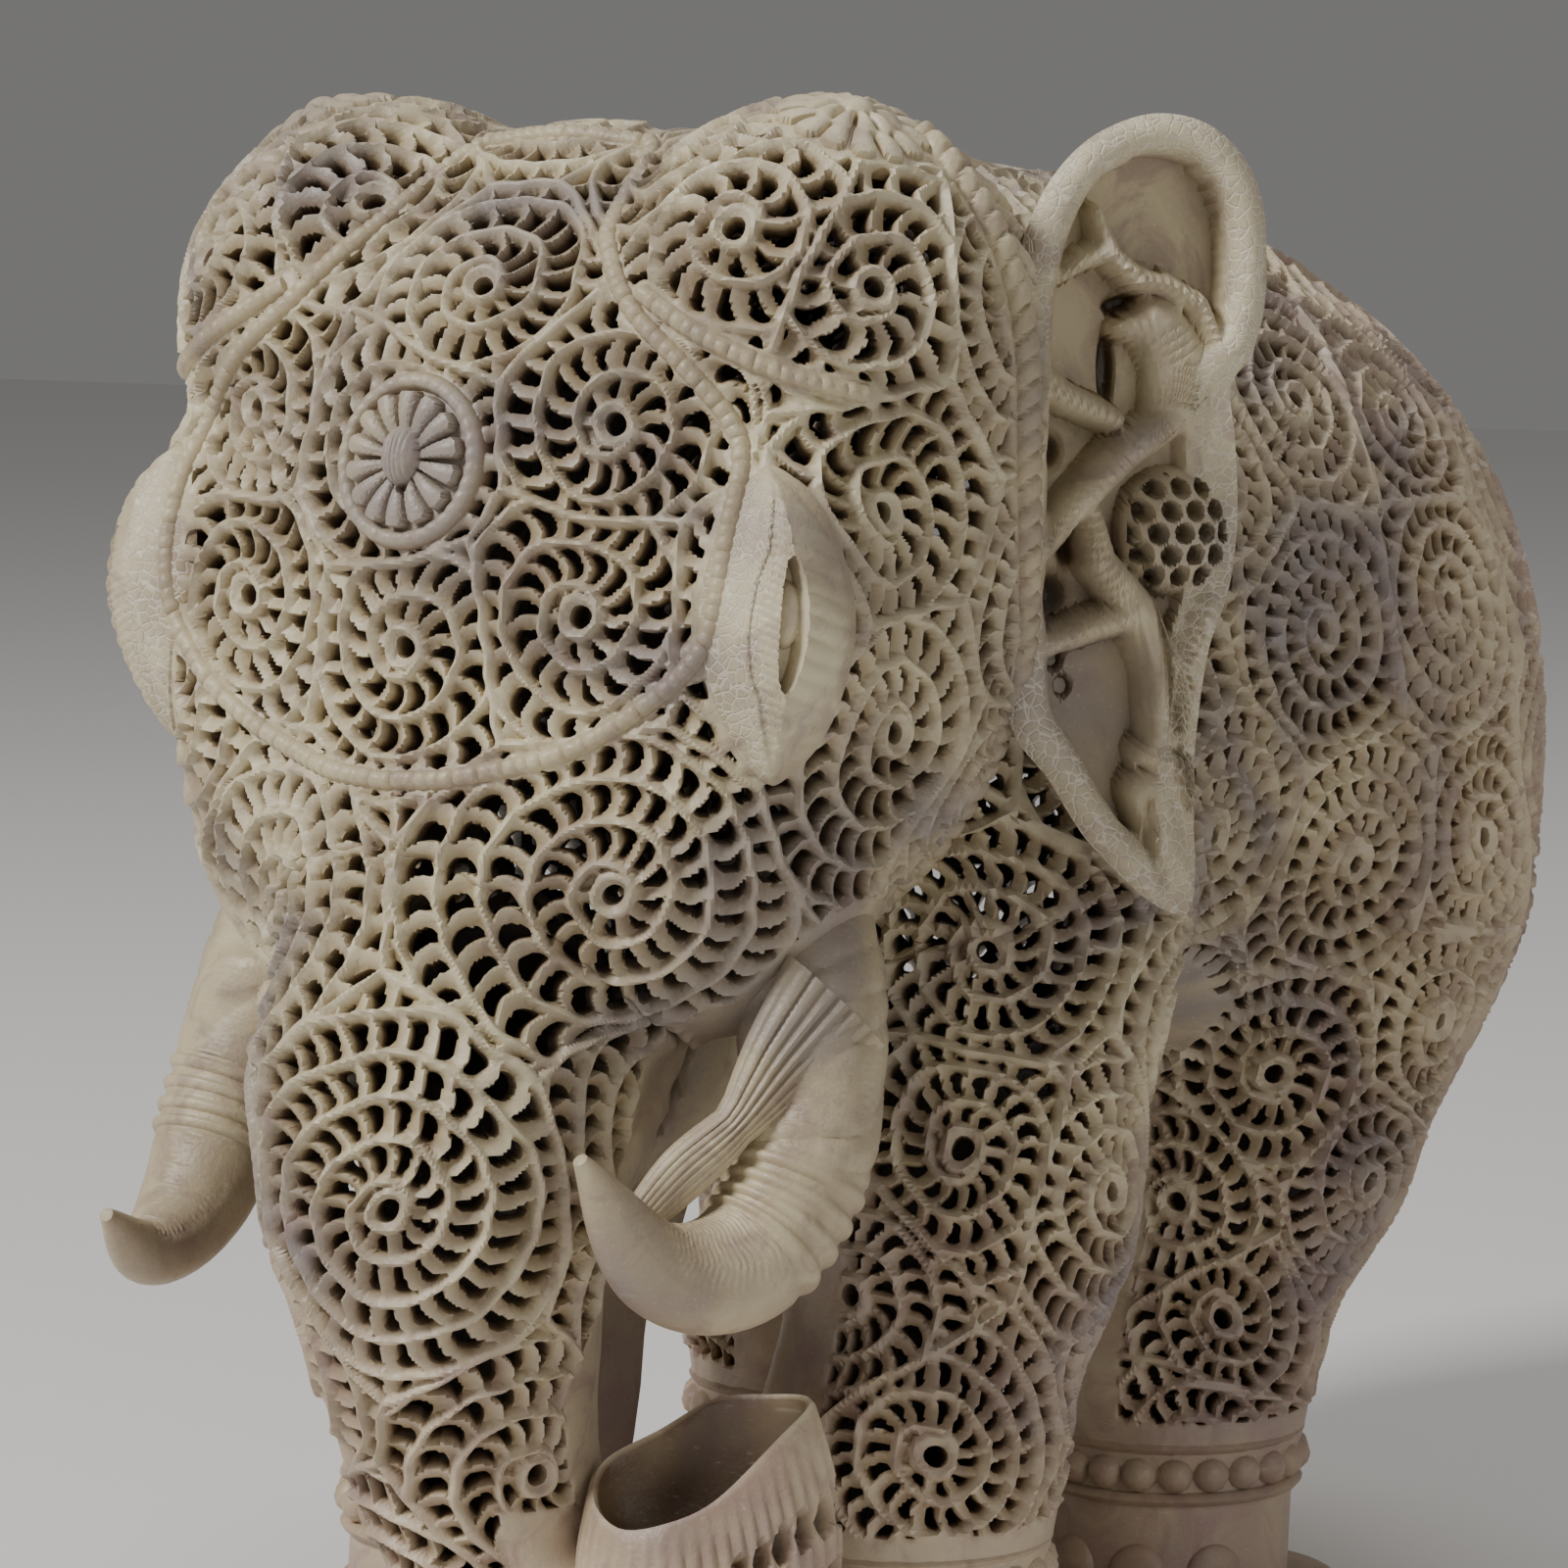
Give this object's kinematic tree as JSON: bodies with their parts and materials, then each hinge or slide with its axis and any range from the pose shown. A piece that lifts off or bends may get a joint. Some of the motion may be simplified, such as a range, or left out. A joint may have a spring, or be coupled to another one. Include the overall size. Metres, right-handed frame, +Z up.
{
  "type": "soapstone elephant sculpture",
  "caption": "Standing elephant carved from one soapstone block, its hollow skin pierced with vine scrolls, with tusks, curled trunk and low base.",
  "frame": {"origin": "the underside of the base, on the elephant's middle plane, below the back of its head", "axes": "+Z up, the elephant faces -Y, its left side is towards +X"},
  "size_m": [0.2064, 0.3416, 0.2986],
  "materials": {
    "soapstone": "hand-carved soapstone, smoothed and lightly waxed, pale cream and grey-violet with pink-brown veins"
  },
  "bodies": {
    "root": {"elephant": "soapstone"}
  },
  "joints": []
}
